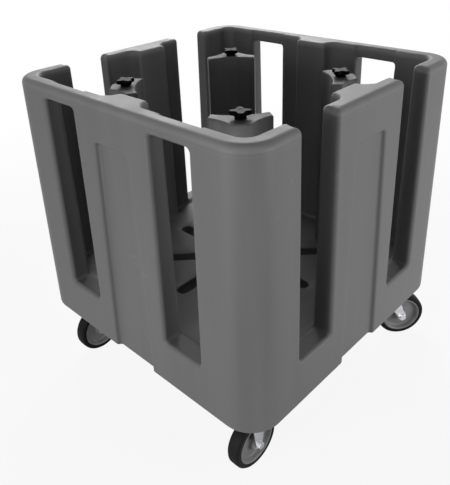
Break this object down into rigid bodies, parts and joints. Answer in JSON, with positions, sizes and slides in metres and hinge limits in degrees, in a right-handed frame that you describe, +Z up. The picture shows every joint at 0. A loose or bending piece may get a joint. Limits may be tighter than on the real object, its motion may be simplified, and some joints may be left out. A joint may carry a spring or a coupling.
{
  "type": "dish caddy",
  "caption": "Square moulded dish caddy on casters, with tall slots in its walls and sliding towers that are clamped by knobs in star-shaped deck slots to part stacks of plates.",
  "frame": {"origin": "on the ground under the middle of the tub", "axes": "+Z up; the front corner of the picture is at -X -Y, and the walls with slots that are open at the rim face -Y and +Y"},
  "size_m": [0.7375, 0.73, 0.782],
  "materials": {
    "tub_moulding": "fine stippled, slightly waxy polyethylene moulding",
    "tower_moulding": "fine stippled polyethylene moulding",
    "knob_black": "smooth moulded nylon",
    "zinc_steel": "bright zinc plate",
    "wheel_core_plastic": "moulded polypropylene",
    "tread_rubber": "smooth dark tread",
    "bush_plastic": "moulded acetal",
    "insert_brass": "turned"
  },
  "bodies": {
    "caddy": {"tub": "tub_moulding", "caster_inserts": "insert_brass", "caster_bolts": "zinc_steel", "front_caster_fork": "zinc_steel", "front_axle_bolt": "zinc_steel", "front_axle_nut": "zinc_steel", "front_axle_sleeve": "zinc_steel", "left_caster_fork": "zinc_steel", "left_axle_bolt": "zinc_steel", "left_axle_nut": "zinc_steel", "left_axle_sleeve": "zinc_steel", "right_swivel_plate": "zinc_steel", "right_kingpin": "zinc_steel", "back_swivel_plate": "zinc_steel", "back_kingpin": "zinc_steel"},
    "front_tower": {"front_tower": "tower_moulding", "front_clamp_washer": "zinc_steel"},
    "front_knob": {"front_clamp_knob": "knob_black", "front_clamp_rod": "zinc_steel"},
    "front_clamp": {"front_clamp_plate": "zinc_steel"},
    "front_wheel": {"front_wheel_core": "wheel_core_plastic", "front_tyre": "tread_rubber", "front_hub_bushes": "bush_plastic"},
    "left_tower": {"left_tower": "tower_moulding", "left_clamp_washer": "zinc_steel"},
    "left_knob": {"left_clamp_knob": "knob_black", "left_clamp_rod": "zinc_steel"},
    "left_clamp": {"left_clamp_plate": "zinc_steel"},
    "left_wheel": {"left_wheel_core": "wheel_core_plastic", "left_tyre": "tread_rubber", "left_hub_bushes": "bush_plastic"},
    "right_tower": {"right_tower": "tower_moulding", "right_clamp_washer": "zinc_steel"},
    "right_knob": {"right_clamp_knob": "knob_black", "right_clamp_rod": "zinc_steel"},
    "right_clamp": {"right_clamp_plate": "zinc_steel"},
    "right_fork": {"right_caster_fork": "zinc_steel", "right_swivel_balls": "zinc_steel", "right_axle_bolt": "zinc_steel", "right_axle_nut": "zinc_steel", "right_axle_sleeve": "zinc_steel"},
    "right_wheel": {"right_wheel_core": "wheel_core_plastic", "right_tyre": "tread_rubber", "right_hub_bushes": "bush_plastic"},
    "back_tower": {"back_tower": "tower_moulding", "back_clamp_washer": "zinc_steel"},
    "back_knob": {"back_clamp_knob": "knob_black", "back_clamp_rod": "zinc_steel"},
    "back_clamp": {"back_clamp_plate": "zinc_steel"},
    "back_fork": {"back_caster_fork": "zinc_steel", "back_swivel_balls": "zinc_steel", "back_axle_bolt": "zinc_steel", "back_axle_nut": "zinc_steel", "back_axle_sleeve": "zinc_steel"},
    "back_wheel": {"back_wheel_core": "wheel_core_plastic", "back_tyre": "tread_rubber", "back_hub_bushes": "bush_plastic"}
  },
  "joints": [
    {"name": "front_tower_slide", "type": "slide", "parent": "caddy", "child": "front_tower", "axis": [-0.7071, -0.7071, 0], "range_m": [-0.139, 0.016]},
    {"name": "front_knob_turn", "type": "hinge", "parent": "front_tower", "child": "front_knob", "pos_m": [-0.17607, -0.17607, 0.745], "axis": [0, 0, 1], "range_deg": [0, 720]},
    {"name": "front_clamp_slide", "type": "slide", "parent": "front_tower", "child": "front_clamp", "axis": [0, 0, 1], "range_m": [-0.0035, 0]},
    {"name": "front_wheel_roll", "type": "hinge", "parent": "caddy", "child": "front_wheel", "pos_m": [-0.283, -0.283, 0.0635], "axis": [0, 1, 0], "continuous": true},
    {"name": "left_tower_slide", "type": "slide", "parent": "caddy", "child": "left_tower", "axis": [-0.7071, 0.7071, 0], "range_m": [-0.137, 0.018]},
    {"name": "left_knob_turn", "type": "hinge", "parent": "left_tower", "child": "left_knob", "pos_m": [-0.17466, 0.17466, 0.745], "axis": [0, 0, 1], "range_deg": [0, 720]},
    {"name": "left_clamp_slide", "type": "slide", "parent": "left_tower", "child": "left_clamp", "axis": [0, 0, 1], "range_m": [-0.0035, 0]},
    {"name": "left_wheel_roll", "type": "hinge", "parent": "caddy", "child": "left_wheel", "pos_m": [-0.283, 0.283, 0.0635], "axis": [0, 1, 0], "continuous": true},
    {"name": "right_tower_slide", "type": "slide", "parent": "caddy", "child": "right_tower", "axis": [0.7071, -0.7071, 0], "range_m": [-0.13, 0.025]},
    {"name": "right_knob_turn", "type": "hinge", "parent": "right_tower", "child": "right_knob", "pos_m": [0.16971, -0.16971, 0.745], "axis": [0, 0, 1], "range_deg": [0, 720]},
    {"name": "right_clamp_slide", "type": "slide", "parent": "right_tower", "child": "right_clamp", "axis": [0, 0, 1], "range_m": [-0.0035, 0]},
    {"name": "right_caster_swivel", "type": "hinge", "parent": "caddy", "child": "right_fork", "pos_m": [0.283, -0.283, 0.15], "axis": [0, 0, 1], "continuous": true},
    {"name": "right_wheel_roll", "type": "hinge", "parent": "right_fork", "child": "right_wheel", "pos_m": [0.31517, -0.31, 0.0635], "axis": [0.6428, 0.766, 0], "continuous": true},
    {"name": "back_tower_slide", "type": "slide", "parent": "caddy", "child": "back_tower", "axis": [0.7071, 0.7071, 0], "range_m": [-0.135, 0.02]},
    {"name": "back_knob_turn", "type": "hinge", "parent": "back_tower", "child": "back_knob", "pos_m": [0.17324, 0.17324, 0.745], "axis": [0, 0, 1], "range_deg": [0, 720]},
    {"name": "back_clamp_slide", "type": "slide", "parent": "back_tower", "child": "back_clamp", "axis": [0, 0, 1], "range_m": [-0.0035, 0]},
    {"name": "back_caster_swivel", "type": "hinge", "parent": "caddy", "child": "back_fork", "pos_m": [0.283, 0.283, 0.15], "axis": [0, 0, 1], "continuous": true},
    {"name": "back_wheel_roll", "type": "hinge", "parent": "back_fork", "child": "back_wheel", "pos_m": [0.31517, 0.256, 0.0635], "axis": [0.6428, 0.766, 0], "continuous": true}
  ],
  "couplings": [
    {"joint": "front_knob_turn", "follows": "front_clamp_slide", "rad_per_m": -3590.3},
    {"joint": "left_knob_turn", "follows": "left_clamp_slide", "rad_per_m": -3590.3},
    {"joint": "right_knob_turn", "follows": "right_clamp_slide", "rad_per_m": -3590.3},
    {"joint": "back_knob_turn", "follows": "back_clamp_slide", "rad_per_m": -3590.3}
  ]
}
